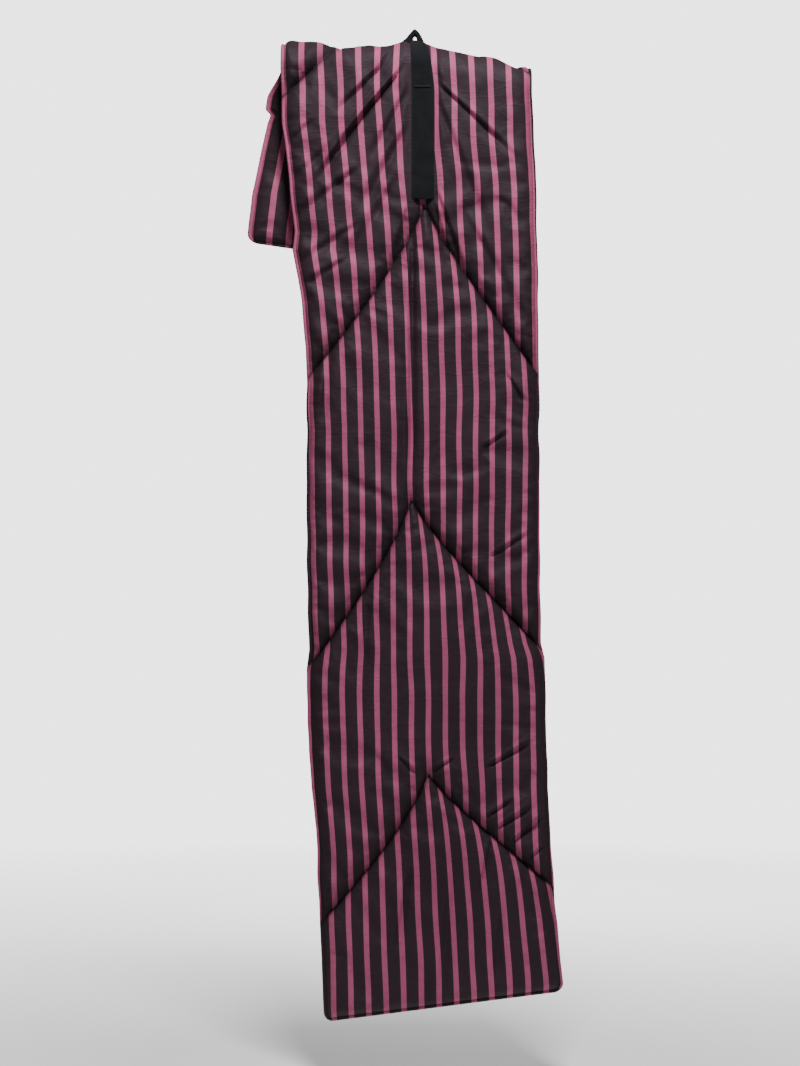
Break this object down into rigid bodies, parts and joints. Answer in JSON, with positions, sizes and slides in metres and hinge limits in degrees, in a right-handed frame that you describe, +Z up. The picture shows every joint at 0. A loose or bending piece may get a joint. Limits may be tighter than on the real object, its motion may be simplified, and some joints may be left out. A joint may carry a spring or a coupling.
{
  "type": "camp quilt",
  "caption": "Long padded quilt with chevron quilting, folded over at its top and hung from a tape loop, with a strap down the front.",
  "frame": {"origin": "inside top of the hang loop, where the quilt's weight is held", "axes": "+Z up along the hanging length, -Y to the front of the quilt, +X to its right seen from the front"},
  "size_m": [0.5358, 0.0883, 1.705],
  "materials": {
    "shell": "smooth woven cloth with a soft sheen, dark with lengthwise pink stripes",
    "lining": "the shell's smooth woven cloth again, dark with lengthwise pink stripes",
    "filling": "loose fibre filling",
    "thread": "sewing thread, matte",
    "seam": "turned and stitched cloth edge",
    "strap": "fine ribbed black tape, matte"
  },
  "bodies": {
    "upper_panel": {"filling_top": "filling", "filling_upper_below_seam": "filling", "hang_loop": "strap", "lining_upper": "lining", "loop_bar_tack": "thread", "quilting_seam_upper": "thread", "shell_upper": "shell", "side_seam_left_upper": "seam", "side_seam_right_upper": "seam", "strap_bar_tack": "thread", "strap_sewn_part": "strap", "top_seam_left": "thread", "top_seam_right": "thread"},
    "back_flap": {"filling_back_flap": "filling", "flap_hem_seam": "seam", "lining_back_flap": "lining", "shell_back_flap": "shell", "side_seam_left_back_flap": "seam", "side_seam_right_back_flap": "seam"},
    "middle_panel": {"filling_middle_above_seam": "filling", "filling_middle_below_seam": "filling", "lining_middle": "lining", "quilting_seam_middle": "thread", "shell_middle": "shell", "side_seam_left_middle": "seam", "side_seam_right_middle": "seam"},
    "lower_panel": {"filling_lower_above_seam": "filling", "filling_lower_below_seam": "filling", "hem_seam": "seam", "lining_lower": "lining", "quilting_seam_lower": "thread", "shell_lower": "shell", "side_seam_left_lower": "seam", "side_seam_right_lower": "seam"},
    "strap_tail": {"strap_tail": "strap"}
  },
  "joints": [
    {"name": "flap_fold", "type": "hinge", "parent": "upper_panel", "child": "back_flap", "pos_m": [0, 0.041, -0.112], "axis": [1, 0, 0], "range_deg": [0, 165]},
    {"name": "upper_fold", "type": "hinge", "parent": "upper_panel", "child": "middle_panel", "pos_m": [0, -0.041, -0.64], "axis": [-1, 0, 0], "range_deg": [0, 165]},
    {"name": "lower_fold", "type": "hinge", "parent": "middle_panel", "child": "lower_panel", "pos_m": [0, -0.014, -1.185], "axis": [1, 0, 0], "range_deg": [0, 165]},
    {"name": "strap_lift", "type": "hinge", "parent": "upper_panel", "child": "strap_tail", "pos_m": [0.013, -0.044, -0.104], "axis": [-1, 0, 0], "range_deg": [0, 160]}
  ]
}
